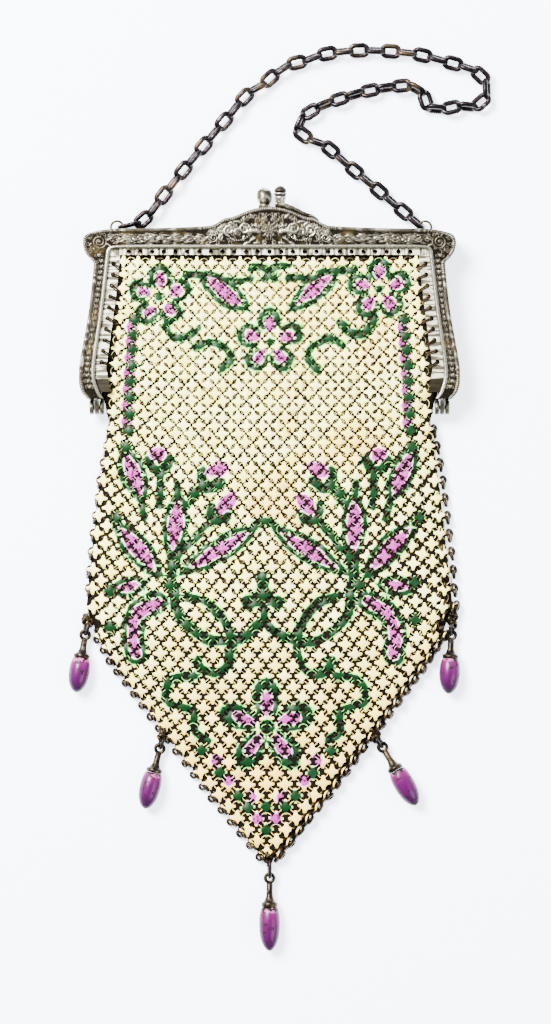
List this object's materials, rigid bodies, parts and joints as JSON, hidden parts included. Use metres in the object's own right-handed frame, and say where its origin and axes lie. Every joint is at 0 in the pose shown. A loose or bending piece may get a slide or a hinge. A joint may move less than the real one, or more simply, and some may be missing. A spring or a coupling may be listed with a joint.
{
  "type": "metal mesh purse",
  "caption": "Flat evening purse of painted metal mesh with a cast hinged frame, kiss clasp, carry chain and enamelled drops, lying on its back.",
  "frame": {"origin": "middle of the top bar's height on the flat back face of the frame's back half, in the plane that the purse rests on", "axes": "+X to the right as seen from the front, +Y from the bag towards the chain, +Z out of the front face"},
  "size_m": [0.1414, 0.3036, 0.012],
  "materials": {
    "frame_front": "antiqued cast silver plate",
    "frame_back": "antiqued silver plate",
    "rail_front": "bright silver plate",
    "rail_back": "bright silver plate",
    "hinge_pin_left": "worn silver plate",
    "hinge_pin_right": "worn silver plate",
    "clasp_knob": "worn silver plate with a golden tarnish",
    "clasp_arm": "worn silver plate",
    "chain_ring_left": "darkened gunmetal",
    "chain_upper": "darkened gunmetal",
    "chain_lower": "darkened gunmetal",
    "mesh_front": "cream enamel with green and lilac flowers",
    "mesh_back": "cream enamel",
    "drop_ring_1": "darkened gunmetal",
    "drop_ring_2": "darkened gunmetal",
    "drop_ring_3": "darkened gunmetal",
    "drop_ring_4": "darkened gunmetal",
    "drop_ring_5": "darkened gunmetal",
    "drop_cap_1": "dark antiqued metal",
    "drop_cap_2": "dark antiqued metal",
    "drop_cap_3": "dark antiqued metal",
    "drop_cap_4": "dark antiqued metal",
    "drop_cap_5": "dark antiqued metal",
    "drop_bead_1": "glossy purple enamel, chipped",
    "drop_bead_2": "glossy purple enamel, chipped",
    "drop_bead_3": "glossy purple enamel, chipped",
    "drop_bead_4": "glossy purple enamel, chipped",
    "drop_bead_5": "glossy purple enamel, chipped"
  },
  "bodies": {
    "root": {"frame_front": "frame_front", "frame_back": "frame_back", "rail_front": "rail_front", "rail_back": "rail_back", "hinge_pin_left": "hinge_pin_left", "hinge_pin_right": "hinge_pin_right", "clasp_knob": "clasp_knob", "clasp_arm": "clasp_arm", "chain_ring_left": "chain_ring_left", "chain_upper": "chain_upper", "chain_lower": "chain_lower", "mesh_front": "mesh_front", "mesh_back": "mesh_back", "drop_ring_1": "drop_ring_1", "drop_ring_2": "drop_ring_2", "drop_ring_3": "drop_ring_3", "drop_ring_4": "drop_ring_4", "drop_ring_5": "drop_ring_5", "drop_cap_1": "drop_cap_1", "drop_cap_2": "drop_cap_2", "drop_cap_3": "drop_cap_3", "drop_cap_4": "drop_cap_4", "drop_cap_5": "drop_cap_5", "drop_bead_1": "drop_bead_1", "drop_bead_2": "drop_bead_2", "drop_bead_3": "drop_bead_3", "drop_bead_4": "drop_bead_4", "drop_bead_5": "drop_bead_5"}
  },
  "joints": []
}
